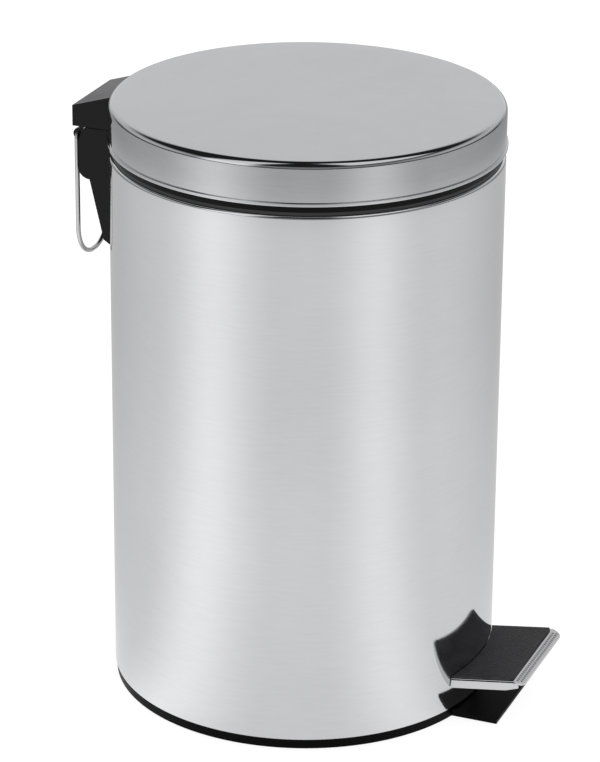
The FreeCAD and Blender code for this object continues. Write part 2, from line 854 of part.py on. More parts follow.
def make_top_collar(doc, s):
    """The plastic collar: it stiffens the shell's mouth and carries the bucket and the lid."""
    body = new_body(doc, s, "top_collar")
    profile = new_sketch(body, "XZ")
    wall = s.collar_wall
    outline(
        profile,
        (s.spigot_radius - s.spigot_wall, s.collar_bottom),
        (s.spigot_radius, s.collar_bottom),
        (s.spigot_radius, s.collar_step),
        (s.collar_neck, s.collar_step + 1),
        (s.collar_neck, s.collar_seat),
        (s.collar_radius, s.collar_seat),
        (s.collar_radius, s.collar_top),
        (s.ledge_wall, s.collar_top),
        (s.ledge_wall, s.bucket_rim_bottom),
        (s.ledge_radius, s.bucket_rim_bottom),
        (s.ledge_radius, s.bucket_rim_bottom - wall),
        (s.ledge_wall + 2, s.bucket_rim_bottom - wall),
        (s.ledge_wall + 2, s.collar_top - wall),
        (s.spigot_radius - s.spigot_wall, s.collar_top - wall),
    )
    revolve(body, profile)
    half = s.window_half_width
    lower = new_sketch(body, "XY", s.collar_bottom - 1)
    rectangle(lower, -half, s.ledge_cut, half, s.body_radius + 1)
    pocket(body, lower, s.bucket_rim_bottom, both_ways=False, reverse=True)
    upper = new_sketch(body, "XY", s.bucket_rim_bottom)
    rectangle(upper, -half, s.ledge_wall - 3, half, s.body_radius + 1)
    pocket(body, upper, s.passage_depth, both_ways=False, reverse=True)
    recesses = new_sketch(body, "XY", s.buffer_bottom)
    buffer_circles(recesses, s, s.buffer_radius + s.loose_fit)
    pocket(body, recesses, s.passage_depth, both_ways=False, reverse=True)
    return body


def make_lid_buffers(doc, s):
    """Three rubber buttons that quieten the closing lid."""
    body = new_body(doc, s, "lid_buffers")
    sketch = new_sketch(body, "XY", s.buffer_bottom)
    buffer_circles(sketch, s, s.buffer_radius)
    pad(body, sketch, s.buffer_top - s.buffer_bottom, both_ways=False)
    return body


def make_lid_shell(doc, s):
    """The pressed steel lid: flat top, soft shoulder, straight skirt and a rolled bottom edge."""
    body = new_body(doc, s, "lid_shell")
    wall = s.sheet_steel
    inside = s.body_radius - wall
    profile = new_sketch(body, "XZ")
    outline(
        profile,
        (s.lid_hem, s.lid_bottom),
        (s.lid_bead - 0.7, s.lid_bottom),
        (s.lid_bead, s.lid_bottom + 0.7, 0.7, "left"),
        (s.lid_bead, s.lid_bottom + s.lid_bead_height - 1),
        (s.body_radius, s.lid_bottom + s.lid_bead_height),
        (s.body_radius, s.lid_shoulder),
        (s.lid_edge_radius, s.lid_edge_height, s.lid_corner, "left"),
        (s.lid_flat_radius, s.lid_top, s.lid_crown, "left"),
        (0, s.lid_top),
        (0, s.lid_top - wall),
        (s.lid_flat_radius - 0.2, s.lid_top - wall),
        (s.lid_edge_radius - 0.4, s.lid_edge_height - 0.5, s.lid_crown - wall, "right"),
        (inside, s.lid_shoulder, s.lid_corner - wall, "right"),
        (inside, s.lid_bottom + s.lid_hem_wall),
        (s.lid_hem, s.lid_bottom + s.lid_hem_wall),
    )
    revolve(body, profile)
    slot = new_sketch(body, "XZ", -s.body_radius)
    rectangle(slot, -s.web_slot_half, s.lid_bottom - 1, s.web_slot_half, s.web_slot_top)
    pocket(body, slot, s.passage_depth * 0.5)
    holes = new_sketch(body, "XZ", -s.body_radius)
    for side in (-s.cover_screw_side, s.cover_screw_side):
        circle(holes, side, s.cover_screw_height, s.screw_radius + s.loose_fit)
    pocket(body, holes, s.passage_depth)
    return body


def on_arm(s, along, across):
    """A point of the bracket's arm, which slants from the pin down to the rod: its distance along
    the arm from the pin, and its height above the arm's middle line."""
    back = s.hinge_back - s.arm_forward * along - s.arm_down * across
    return back, s.hinge_height - s.arm_down * along + s.arm_forward * across


def make_lid_bracket(doc, s):
    """The steel bracket welded under the lid: its web turns on the pin and is lifted by the rod."""
    body = new_body(doc, s, "lid_bracket")
    plate_top = s.lid_top - s.sheet_steel - s.bracket_gap
    y, z = s.hinge_back, s.hinge_height
    web = new_sketch(body, "YZ")
    outline(
        web,
        (s.bracket_front, plate_top - s.bracket_wall),
        (s.bracket_front, plate_top - s.bracket_nose),
        (y - s.web_forward, z + s.web_rise),
        (y - s.web_front_gap, z + s.web_lift),
        on_arm(s, s.arm_shoulder, s.arm_half_height),
        on_arm(s, s.arm_end, s.arm_tip_half),
        on_arm(s, s.arm_end, -s.arm_tip_half),
        on_arm(s, s.arm_shoulder, -s.arm_half_height),
        on_arm(s, 0, -s.boss_radius),
        (y + s.boss_radius, z, s.boss_radius, "left"),
        (y, z + s.boss_radius, s.boss_radius, "left"),
        (y - s.web_back, z + s.web_shoulder),
        (s.web_corner_back, s.web_corner_height),
        (s.bracket_back, plate_top),
        (s.bracket_front, plate_top),
    )
    pad(body, web, s.web_half_width * 2)

    plate = new_sketch(body, "XY", plate_top - s.bracket_wall)
    rectangle(plate, -s.web_half_width, s.bracket_front, s.bracket_width, s.bracket_back)
    pad(body, plate, s.bracket_wall, both_ways=False)

    cuts = new_sketch(body, "YZ")
    circle(cuts, y, z, s.pin_radius + s.running_fit)
    outline(
        cuts,
        on_arm(s, s.arm_slot_start, -s.arm_slot_half),
        on_arm(s, s.arm_slot_start, s.arm_slot_half),
        on_arm(s, s.arm_slot_end, s.arm_slot_half),
        on_arm(s, s.arm_slot_end, -s.arm_slot_half),
    )
    pocket(body, cuts, s.web_half_width * 4)
    return body


def make_hinge_cover(doc, s):
    """The plastic cap behind the lid. It turns with the lid on two ears around the pin."""
    body = new_body(doc, s, "hinge_cover")
    wall, root = s.cover_wall, s.hinge_root
    outer = new_sketch(body, "YZ")
    outline(
        outer,
        (root, s.cover_bottom),
        (s.hinge_rear, s.cover_bottom),
        (s.hinge_rear, s.cover_rear_top),
        (s.cover_slope_front, s.cover_front_top),
        (root, s.cover_front_top),
    )
    pad(body, outer, s.hinge_half_width * 2)
    hollow = new_sketch(body, "YZ")
    outline(
        hollow,
        (root - 1, s.cover_bottom - 1),
        (s.hinge_rear - wall, s.cover_bottom - 1),
        (s.hinge_rear - wall, s.cover_rear_top - wall),
        (s.cover_slope_front, s.cover_front_top - wall),
        (root - 1, s.cover_front_top - wall),
    )
    pocket(body, hollow, (s.hinge_half_width - wall) * 2)

    for shift in (s.cover_ear_inner, -s.cover_ear_outer):
        ear = new_sketch(body, "YZ", shift)
        pin_ear(ear, s)
        pad(body, ear, s.cover_ear_outer - s.cover_ear_inner, both_ways=False)

    blocks = new_sketch(body, "XZ", -s.block_root)
    for side in (-s.cover_screw_side, s.cover_screw_side):
        low, high = side - s.screw_block, side + s.screw_block
        rectangle(blocks, low, s.cover_screw_height - s.screw_block, high, s.cover_block_top)
    pad(body, blocks, s.cover_block_depth, both_ways=False, reverse=True)

    for radius, top in ((s.hinge_inner_radius, s.lid_top), (s.bead_clearance, s.bead_room)):
        lid_room = new_sketch(body, "XY", top)
        circle(lid_room, 0, 0, radius)
        pocket(body, lid_room, s.passage_depth * 2, both_ways=False)

    notches = new_sketch(body, "XZ", -s.hinge_rear)
    low = s.cover_bottom - wall
    rectangle(notches, s.cover_notch_inner, low, s.cover_notch_outer, s.cover_notch_top)
    rectangle(notches, -s.cover_notch_outer, low, -s.cover_notch_inner, s.cover_notch_top)
    pocket(body, notches, wall * 2.5)

    pin_hole = new_sketch(body, "YZ")
    circle(pin_hole, s.hinge_back, s.hinge_height, s.pin_radius + s.running_fit)
    pocket(body, pin_hole, s.hinge_half_width * 2 - wall * 2)
    pilots = new_sketch(body, "XZ", -s.body_radius)
    for side in (-s.cover_screw_side, s.cover_screw_side):
        circle(pilots, side, s.cover_screw_height, s.screw_radius + s.screw_fit)
    pocket(body, pilots, s.passage_depth)
    return body


def pin_ear(sketch, s):
    """An ear that hangs from the cover's roof around the pin."""
    y, z, ear = s.hinge_back, s.hinge_height, s.cover_ear_radius
    roof = s.cover_rear_top - s.cover_wall * 0.5
    outline(
        sketch,
        (y - ear, z),
        (y, z - ear, ear, "left"),
        (y + ear, z, ear, "left"),
        (y + ear, roof),
        (y - ear, roof),
    )


def make_hinge_housing(doc, s):
    """The plastic hinge housing on the back of the shell, tapering downwards, with two ribs that
    hold the hinge pin and, outside, the carrying handle. Its rear wall stops below the knuckles."""
    body = new_body(doc, s, "hinge_housing")
    rear, top, wall, root = s.housing_rear, s.housing_top, s.housing_wall, s.hinge_root
    outer = new_sketch(body, "YZ")
    outline(
        outer,
        (root, s.housing_tip),
        (s.body_radius, s.housing_tip),
        (s.housing_tip_back, s.housing_tip_rise),
        (s.housing_knee_back, s.housing_knee),
        (rear, s.housing_heel, s.housing_heel_radius, "left"),
        (rear, s.housing_shoulder),
        (s.hinge_back + s.housing_bevel, top - s.housing_bevel),
        (s.hinge_back, top),
        (root, top),
    )
    pad(body, outer, s.hinge_half_width * 2)
    hollow = new_sketch(body, "YZ")
    outline(
        hollow,
        (root - wall, s.housing_tip_rise + wall),
        (s.housing_tip_back - wall, s.housing_tip_rise + wall),
        (s.housing_knee_back - wall, s.housing_knee + wall),
        (rear - wall, s.housing_heel + wall),
        (rear - wall, s.knuckle_gap),
        (rear + wall, s.knuckle_gap),
        (rear + wall, top + wall),
        (root - wall, top + wall),
    )
    pocket(body, hollow, (s.hinge_half_width - wall) * 2)

    for shift in (s.rib_inner, -s.rib_outer):
        rib = new_sketch(body, "YZ", shift)
        handle_rib(rib, s)
        pad(body, rib, s.rib_outer - s.rib_inner, both_ways=False)

    rows = ((s.housing_screw_high, s.high_block_depth), (s.housing_screw_low, s.low_block_depth))
    for height, depth in rows:
        blocks = new_sketch(body, "XZ", -s.block_root)
        for side in (-s.housing_screw_side, s.housing_screw_side):
            low, high = side - s.screw_block, side + s.screw_block
            rectangle(blocks, low, height - s.screw_block, high, height + s.screw_block)
        pad(body, blocks, depth, both_ways=False, reverse=True)

    shell_room = new_sketch(body, "XY", s.lid_top)
    circle(shell_room, 0, 0, s.hinge_inner_radius)
    pocket(body, shell_room, s.lid_top - s.window_bottom * 0.5, both_ways=False)

    pin_hole = new_sketch(body, "YZ")
    circle(pin_hole, s.hinge_back, s.hinge_height, s.pin_radius + s.screw_fit)
    circle(pin_hole, s.handle_back, s.handle_height, s.wire_radius + s.wire_fit)
    pocket(body, pin_hole, s.hinge_half_width * 2 - wall * 3)
    pilots = new_sketch(body, "XZ", -s.body_radius)
    for side in (-s.housing_screw_side, s.housing_screw_side):
        for height in (s.housing_screw_low, s.housing_screw_high):
            circle(pilots, side, height, s.screw_radius + s.screw_fit)
    pocket(body, pilots, s.screw_reach * 2)
    return body


def handle_rib(sketch, s):
    """One rib: a boss around the hinge pin, and an ear around the handle's end."""
    y, z, boss = s.hinge_back, s.hinge_height, s.boss_radius
    back, low, ear = s.handle_back, s.handle_height, s.handle_ear
    outline(
        sketch,
        (s.hinge_root, s.window_bottom),
        (s.rib_back, s.rib_bottom),
        (s.rib_back, s.rib_knee),
        (back, low - ear),
        (back + ear, low, ear, "left"),
        (back, low + ear, ear, "left"),
        (y + boss * s.boss_shoulder, z + boss * s.boss_shoulder),
        (y, z + boss, boss, "left"),
        (y - boss, z, boss, "left"),
        (s.hinge_root, s.rib_root_top),
    )


def screws(body, s, places, seat, end):
    """Pan-head screws that point along +Y from their seat to their end."""
    shanks = new_sketch(body, "XZ", -seat)
    heads = new_sketch(body, "XZ", -seat)
    for side, height in places:
        circle(shanks, side, height, s.screw_radius)
        circle(heads, side, height, s.screw_head)
    pad(body, shanks, end - seat, both_ways=False, reverse=True)
    pad(body, heads, s.screw_head_height, both_ways=False)


def make_housing_screws(doc, s):
    """Four screws from inside the shell into the hinge housing."""
    body = new_body(doc, s, "housing_screws")
    sides = (-s.housing_screw_side, s.housing_screw_side)
    heights = (s.housing_screw_low, s.housing_screw_high)
    places = [(side, height) for side in sides for height in heights]
    screws(body, s, places, s.screw_seat, s.body_radius + s.screw_reach - 1)
    return body


def make_cover_screws(doc, s):
    """Two screws from inside the lid's skirt into the hinge cover."""
    body = new_body(doc, s, "cover_screws")
    places = [(side, s.cover_screw_height) for side in (-s.cover_screw_side, s.cover_screw_side)]
    screws(body, s, places, s.screw_seat, s.body_radius + s.cover_screw_reach)
    return body


def make_carry_handle(doc, s):
    """The wire handle on the back. Its ends turn inwards, through the ears of the housing."""
    body = new_body(doc, s, "carry_handle")
    side, corner, bend = s.handle_side, s.handle_corner, s.handle_bend
    top, bottom = s.handle_height, s.handle_bottom
    path = new_sketch(body, "XZ", -s.handle_back)
    outline(
        path,
        (s.handle_end, top),
        (side - bend, top),
        (side, top - bend, bend, "right"),
        (side, bottom + corner),
        (side - corner, bottom, corner, "right"),
        (-side + corner, bottom),
        (-side, bottom + corner, corner, "right"),
        (-side, top - bend),
        (-side + bend, top, bend, "right"),
        (-s.handle_end, top),
        closed=False,
    )
    section = new_sketch(body, "YZ", s.handle_end)
    circle(section, s.handle_back, top, s.wire_radius)
    sweep(body, path, section)
    return body


MAKERS = (
    make_outer_shell,
    make_base_pan,
    make_anti_slip_pads,
    make_pedal_lever,
    make_pedal_plate,
    make_pedal_pad,
    make_pedal_rivets,
    make_axle_clips,
    make_push_rod,
    make_rod_clips,
    make_rod_guide,
    make_inner_bucket,
    make_bucket_bail,
    make_top_collar,
    make_lid_buffers,
    make_lid_shell,
    make_lid_bracket,
    make_hinge_cover,
    make_cover_screws,
    make_hinge_housing,
    make_housing_screws,
    make_carry_handle,
)


def check(doc, parts):
    """Stops with the names of failed features or broken shapes, before anything is written."""
    failed = [item.Name for item in doc.Objects if {"Invalid", "Error"} & set(item.State)]
    broken = [part.Label for part in parts if part.Shape.isNull() or not part.Shape.isValid()]
    if failed or broken:
        raise RuntimeError(f"failed features {failed}, broken shapes {broken}")


def main():
    doc = FreeCAD.newDocument("pedal_bin")
    sizes = Sheet(doc)
    parts = [make(doc, sizes) for make in MAKERS]
    parts.append(
        cylinder_across(
            doc, "pedal_axle", sizes.axle_radius, sizes.axle_half_length,
            sizes.axis_back + sizes.fulcrum_back, sizes.fulcrum_height,
        )
    )
    parts.append(
        cylinder_across(
            doc, "hinge_pin", sizes.pin_radius, sizes.pin_half_length,
            sizes.axis_back + sizes.hinge_back, sizes.hinge_height,
        )
    )
    doc.recompute()
    check(doc, parts)
    os.makedirs("parts", exist_ok=True)
    for part in parts:
        part.Shape.exportStep(f"parts/{part.Label}.step")
        box = part.Shape.BoundBox
        print(
            f"{part.Label}: {len(part.Shape.Solids)} solids, {part.Shape.Volume / 1000:.2f} cm3,",
            f"x {box.XMin:.1f} {box.XMax:.1f}, y {box.YMin:.1f} {box.YMax:.1f},",
            f"z {box.ZMin:.1f} {box.ZMax:.1f}",
        )


main()
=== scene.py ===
import math

import bmesh
import bpy
from mathutils import Matrix, Vector


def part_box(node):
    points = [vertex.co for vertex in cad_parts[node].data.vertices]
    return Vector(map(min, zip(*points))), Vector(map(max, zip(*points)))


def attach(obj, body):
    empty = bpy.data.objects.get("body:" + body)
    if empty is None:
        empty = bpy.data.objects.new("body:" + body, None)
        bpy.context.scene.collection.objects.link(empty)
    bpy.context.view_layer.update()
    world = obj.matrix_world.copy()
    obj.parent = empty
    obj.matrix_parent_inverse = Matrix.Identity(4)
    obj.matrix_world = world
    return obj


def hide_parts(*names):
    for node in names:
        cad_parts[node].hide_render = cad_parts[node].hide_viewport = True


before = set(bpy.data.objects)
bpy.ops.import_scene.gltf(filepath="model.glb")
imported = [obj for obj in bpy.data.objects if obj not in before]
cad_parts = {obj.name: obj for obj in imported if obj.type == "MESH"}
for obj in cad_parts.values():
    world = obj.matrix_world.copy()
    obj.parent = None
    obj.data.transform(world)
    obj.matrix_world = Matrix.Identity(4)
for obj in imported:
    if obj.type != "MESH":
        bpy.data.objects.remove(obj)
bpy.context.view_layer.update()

# A round steel pedal bin. Metres, in the frame of the CAD: Z is up, the pedal points to -Y and the
# lid's hinge is at +Y. Pieces are drawn round the bin's own axis, which stands a little behind the
# frame's origin, and finish_piece moves them there. Overall sizes are read from the frame.

MM = 0.001
TURN = 2 * math.pi
FRONT = -TURN / 4
BACK = TURN / 4

shell_low, shell_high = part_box("outer_shell")
lid_low, lid_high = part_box("lid_shell")
bucket_low, bucket_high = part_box("inner_bucket")
handle_low, handle_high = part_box("carry_handle")
bail_low, bail_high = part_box("bucket_bail")

AXIS = Matrix.Translation((0, (lid_low.y + lid_high.y) / 2, 0))
RADIUS = 125.0 * MM
SHEET = 0.6 * MM

# The tread lies in a frame of its own, tipped down a little towards the front. Its inner edge
# is an arc round the bin's axis, TREAD_BACK behind that frame's origin.
TREAD_BACK = 121.0 * MM
TREAD_INNER = 125.4 * MM
TREAD_SIDE = 40.6 * MM
TREAD_PLACE = Matrix.Translation((0, -TREAD_BACK, 29.4 * MM)) @ Matrix.Rotation(
    math.radians(-8.4), 4, "X")

# The camera's direction round the bin.
VIEW = math.radians(-68.5)
DEGREES = 180 / math.pi


# ---------------------------------------------------------------- mesh helpers

def unit(vector):
    """The vector at length 1."""
    length = math.hypot(*vector)
    return tuple(part / length for part in vector)


def rounded(corners, closed=True, steps=8):
    """Turns corners (x, y) or (x, y, radius), given anticlockwise, into points of the form
    (x, y, normal before, normal after), with a round stretch wherever a radius is given."""
    count = len(corners)
    points = []
    for index, corner in enumerate(corners):
        here = corner[:2]
        before = corners[index - 1][:2]
        after = corners[(index + 1) % count][:2]
        if not closed and index == 0:
            before = (here[0] * 2 - after[0], here[1] * 2 - after[1])
        if not closed and index == count - 1:
            after = (here[0] * 2 - before[0], here[1] * 2 - before[1])
        first = unit((here[0] - before[0], here[1] - before[1]))
        second = unit((after[0] - here[0], after[1] - here[1]))
        start, end = (first[1], -first[0]), (second[1], -second[0])
        radius = corner[2] if len(corner) > 2 else 0
        turn = math.atan2(first[0] * second[1] - first[1] * second[0],
                          first[0] * second[0] + first[1] * second[1])
        if not radius or abs(turn) < 1e-6:
            points.append((*here, start, end))
            continue
        side = 1 if turn > 0 else -1
        back = radius * math.tan(abs(turn) / 2)
        begin = (here[0] - first[0] * back, here[1] - first[1] * back)
        centre = (begin[0] - start[0] * radius * side, begin[1] - start[1] * radius * side)
        for step in range(steps + 1):
            angle = turn * step / steps
            cos, sin = math.cos(angle), math.sin(angle)
            normal = (start[0] * cos - start[1] * sin, start[0] * sin + start[1] * cos)
            points.append((centre[0] + normal[0] * radius * side,
                           centre[1] + normal[1] * radius * side, normal, normal))
    return points


def column_angles(count, marks=()):
    """Angles round the axis, evenly spaced but with a column exactly at each mark."""
    angles = [TURN * index / count for index in range(count)]
    for mark in marks:
        mark %= TURN
        nearest = min(range(count), key=lambda index: abs(angles[index] - mark))
        angles[nearest] = mark
    return angles


def in_window(cut, angle, low, high):
    """True for a patch of the wall, just after the angle, that lies in the window."""
    offset = (angle + 1e-6 - cut[0] + math.pi) % TURN - math.pi
    beside = -cut[1] - 1e-7 <= offset < cut[1] - 1e-5
    return beside and low > cut[2] - 1e-7 and high < cut[3] + 1e-7


def lathe(name, points, count=192, cuts=()):
    """Turns a closed profile of (radius, height, normals) round the Z axis. Each cut (centre angle,
    half angle, low, high) leaves a window in the wall, closed round its edge."""
    marks = [cut[0] + sign * cut[1] for cut in cuts for sign in (-1, 1)]
    angles = column_angles(count, marks)
    verts, rows = [], []
    for radius, height, _, _ in points:
        if radius < 1e-7:
            rows.append([len(verts)] * count)
            verts.append((0.0, 0.0, height))
            continue
        rows.append(list(range(len(verts), len(verts) + count)))
        verts += [(radius * math.cos(turn), radius * math.sin(turn), height) for turn in angles]

    faces, normals = [], []
    runs = len(points)
    gone = {}
    for run in range(runs):
        after = (run + 1) % runs
        near, far = points[run][3], points[after][2]
        low, high = sorted((points[run][1], points[after][1]))
        for column in range(count):
            window = [cut for cut in cuts if in_window(cut, angles[column], low, high)]
            if window:
                gone.setdefault(cuts.index(window[0]), {}).setdefault(run, []).append(column)
                continue
            beside = (column + 1) % count
            corners = [(rows[run][column], near, column), (rows[run][beside], near, beside),
                       (rows[after][beside], far, beside), (rows[after][column], far, column)]
            kept = []
            for corner in corners:
                if corner[0] not in [other[0] for other in kept]:
                    kept.append(corner)
            if len(kept) < 3:
                continue
            faces.append([corner[0] for corner in kept])
            for _, normal, place in kept:
                cos, sin = math.cos(angles[place]), math.sin(angles[place])
                normals.append((normal[0] * cos, normal[0] * sin, normal[1]))
    for index, missing in gone.items():
        close_window(faces, normals, verts, rows, angles, cuts[index], missing)

    mesh = bpy.data.meshes.new(name)
    mesh.from_pydata(verts, [], faces)
    mesh.shade_smooth()
    mesh.set_sharp_from_angle(angle=math.radians(30))
    mesh.normals_split_custom_set(normals)
    return add_object(name, mesh)


def close_window(faces, normals, verts, rows, angles, cut, missing):
    """Closes the wall's thickness round a window."""
    inner = sorted(next(iter(missing.values())),
                   key=lambda column: (angles[column] - cut[0] + math.pi) % TURN)
    spans = []
    for run in sorted(missing):
        if spans and spans[-1][-1] == run:
            spans[-1].append(run + 1)
        else:
            spans.append([run, run + 1])
    total = len(rows)
    if len(spans) > 1 and spans[0][0] == 0 and spans[-1][-1] == total:
        spans[0] = spans.pop()[:-1] + spans[0]
    spans = [[index % total for index in span] for span in spans]
    last = (inner[-1] + 1) % len(angles)
    chain = [index for span in spans for index in span]
    add_flat(faces, normals, verts, [rows[index][inner[0]] for index in chain][::-1])
    add_flat(faces, normals, verts, [rows[index][last] for index in chain])
    for order, span in enumerate(spans):
        begin, end = span[-1], spans[(order + 1) % len(spans)][0]
        for column in inner:
            beside = (column + 1) % len(angles)
            quad = [rows[begin][column], rows[begin][beside], rows[end][beside], rows[end][column]]
            add_flat(faces, normals, verts, quad)


def add_flat(faces, normals, verts, face):
    """Adds one flat face with corners of its own, which share its normal."""
    corners = [Vector(verts[index]) for index in face]
    normal = Vector((0, 0, 0))
    for index, corner in enumerate(corners):
        normal += (corners[index - 1] - corners[0]).cross(corner - corners[0])
    faces.append(list(range(len(verts), len(verts) + len(face))))
    verts.extend([tuple(corner) for corner in corners])
    normals.extend([tuple(normal.normalized())] * len(face))


def add_object(name, data):
    """A new object in the scene."""
    item = bpy.data.objects.new(name, data)
    bpy.context.scene.collection.objects.link(item)
    return item


def wire(name, path, radius, closed=False, bends=8):
    """A round wire through 3-D corners (point, bend radius)."""
    points = []
    for index, (here, bend) in enumerate(path):
        here = Vector(here)
        if not bend or index in (0, len(path) - 1):
            points.append(here)
            continue
        before = (Vector(path[index - 1][0]) - here).normalized()
        after = (Vector(path[index + 1][0]) - here).normalized()
        half = before.angle(after) / 2
        middle = here + (before + after).normalized() * (bend / math.sin(half))
        start = here + before * (bend / math.tan(half))
        end = here + after * (bend / math.tan(half))
        for step in range(bends + 1):
            arm = (start - middle).slerp(end - middle, step / bends)
            points.append(middle + arm.normalized() * bend)
    curve = bpy.data.curves.new(name, "CURVE")
    curve.dimensions = "3D"
    spline = curve.splines.new("POLY")
    spline.points.add(len(points) - 1)
    for target, point in zip(spline.points, points):
        target.co = (*point, 1)
    spline.use_cyclic_u = closed
    spline.use_smooth = True
    curve.bevel_depth = radius
    curve.bevel_resolution = 5
    curve.use_fill_caps = True
    return add_object(name, curve)


def finish_piece(item, body, material, slot, *nodes):
    """Gives a piece its material and its body, and hides the CAD nodes that it stands for. The slot is
    not used.
    """
    item.data.transform(AXIS)
    item.data.materials.clear()
    item.data.materials.append(material)
    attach(item, body)
    if nodes:
        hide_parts(*nodes)
    return item


# ---------------------------------------------------------------- materials

class Nodes:
    """A short way to write a node tree."""

    def __init__(self, tree):
        self.tree = tree
        tree.nodes.clear()

    def add(self, kind, inputs=None, **settings):
        """A node of this kind. Its inputs are given as values or as other nodes' outputs."""
        node = self.tree.nodes.new(kind)
        for key, value in settings.items():
            setattr(node, key, value)
        for key, value in (inputs or {}).items():
            if isinstance(value, bpy.types.NodeSocket):
                self.tree.links.new(value, node.inputs[key])
            else:
                node.inputs[key].default_value = value
        return node

    def maths(self, operation, first, second=0.0):
        return self.add("ShaderNodeMath", {0: first, 1: second}, operation=operation).outputs[0]

    def sum(self, *values):
        total = values[0]
        for value in values[1:]:
            total = self.maths("ADD", total, value)
        return total

    def product(self, *values):
        total = values[0]
        for value in values[1:]:
            total = self.maths("MULTIPLY", total, value)
        return total

    def range(self, value, low, high, to_low=0.0, to_high=1.0, smooth=False):
        """Maps low..high to to_low..to_high, and stays within those."""
        node = self.add("ShaderNodeMapRange", {
            "Value": value, "From Min": low, "From Max": high, "To Min": to_low, "To Max": to_high})
        node.interpolation_type = "SMOOTHSTEP" if smooth else "LINEAR"
        return node.outputs[0]

    def band(self, value, low, high, soft):
        """1 between low and high, 0 outside, with soft edges."""
        rise = self.range(value, low - soft, low + soft, smooth=True)
        fall = self.range(value, high - soft, high + soft, 1.0, 0.0, smooth=True)
        return self.product(rise, fall)

    def noise(self, place, scale, detail=3.0, roughness=0.5):
        node = self.add("ShaderNodeTexNoise", {
            "Vector": place, "Scale": scale, "Detail": detail, "Roughness": roughness})
        return node.outputs["Fac"]

    def stretched(self, place, x, y, z):
        """The place scaled along each axis, which draws a texture out or in."""
        node = self.add("ShaderNodeVectorMath", {0: place, 1: (x, y, z)}, operation="MULTIPLY")
        return node.outputs[0]

    def colours(self, factor, dark, light):
        """A mix from dark to light."""
        node = self.add("ShaderNodeMix", {0: factor}, data_type="RGBA")
        node.inputs[6].default_value = (*dark, 1)
        node.inputs[7].default_value = (*light, 1)
        return node.outputs[2]

    def bump(self, height, strength, distance):
        node = self.add("ShaderNodeBump", {
            "Height": height, "Strength": strength, "Distance": distance})
        return node.outputs["Normal"]


def new_material(name, metallic=0.0, specular=0.5):
    """An empty material with its shader, and the place on the object for textures."""
    material = bpy.data.materials.new(name)
    material.use_nodes = True
    nodes = Nodes(material.node_tree)
    shader = nodes.add("ShaderNodeBsdfPrincipled", {
        "Metallic": metallic, "Specular IOR Level": specular})
    output = nodes.add("ShaderNodeOutputMaterial")
    material.node_tree.links.new(shader.outputs[0], output.inputs[0])
    place = nodes.add("ShaderNodeTexCoord").outputs["Object"]
    return material, nodes, shader, place


def connect(nodes, shader, **sockets):
    """Links outputs to the shader's colour, roughness or normal."""
    names = {"color": "Base Color", "roughness": "Roughness", "normal": "Normal"}
    for key, value in sockets.items():
        nodes.tree.links.new(value, shader.inputs[names[key]])


def grey(value, blue=1.0):
    """A grey colour, a little bluer when blue is above 1."""
    return (value, value, value * blue)


def steel(name, dark, light, rough, spread, grain):
    """Polished sheet steel with a fine grain, faint cloudy wipe marks and hairline scratches."""
    material, nodes, shader, place = new_material(name, metallic=1.0)
    cloud = nodes.noise(place, 9.0, 4.0, 0.55)
    streak = nodes.noise(nodes.stretched(place, *grain), 1.0, 3.0, 0.6)
    finer = nodes.stretched(place, *(part * 3 for part in grain))
    lines = nodes.range(nodes.noise(finer, 1.0, 2.0), 0.66, 0.74)
    tone = nodes.sum(nodes.product(cloud, 0.6), nodes.product(streak, 0.4))
    polish = nodes.range(tone, 0.3, 0.7, rough, rough + spread)
    connect(
        nodes, shader,
        color=nodes.colours(nodes.range(tone, 0.35, 0.65), dark, light),
        roughness=nodes.sum(polish, nodes.product(lines, 0.05)),
        normal=nodes.bump(streak, 0.006, 0.2 * MM),
    )
    return material


def moulded(name, dark, light, rough, grain_size, depth, specular=0.4, dust_and_sheen=0.0):
    """Moulded plastic or rubber: a fine grain, slight colour clouds, worn, smoother patches and,
    where the last argument is above 0, a painted sheen: a lighter colour on the faces that look up, in
    cloudy patches."""
    material, nodes, shader, place = new_material(name, specular=specular)
    cloud = nodes.noise(place, 22.0, 3.0)
    grain = nodes.noise(place, grain_size, 2.0, 0.6)
    colour = nodes.colours(nodes.range(cloud, 0.3, 0.7), dark, light)
    # Painted sheen: faces that look up get a lighter colour, in cloudy patches, standing in for the
    # light they catch from above.
    if dust_and_sheen:
        normal = nodes.add("ShaderNodeTexCoord").outputs["Normal"]
        upward = nodes.range(nodes.add("ShaderNodeSeparateXYZ", {0: normal}).outputs[2], 0.5, 0.9)
        patches = nodes.range(cloud, 0.2, 0.8, 0.8 * dust_and_sheen, 1.2 * dust_and_sheen)
        tint = nodes.colours(nodes.product(upward, patches), grey(0), grey(1, 1.1))
        colour = nodes.add("ShaderNodeVectorMath", {0: colour, 1: tint}, operation="ADD").outputs[0]
    connect(
        nodes, shader,
        color=colour,
        roughness=nodes.range(cloud, 0.3, 0.7, rough, rough + 0.12),
        normal=nodes.bump(grain, 0.35, depth),
    )
    return material


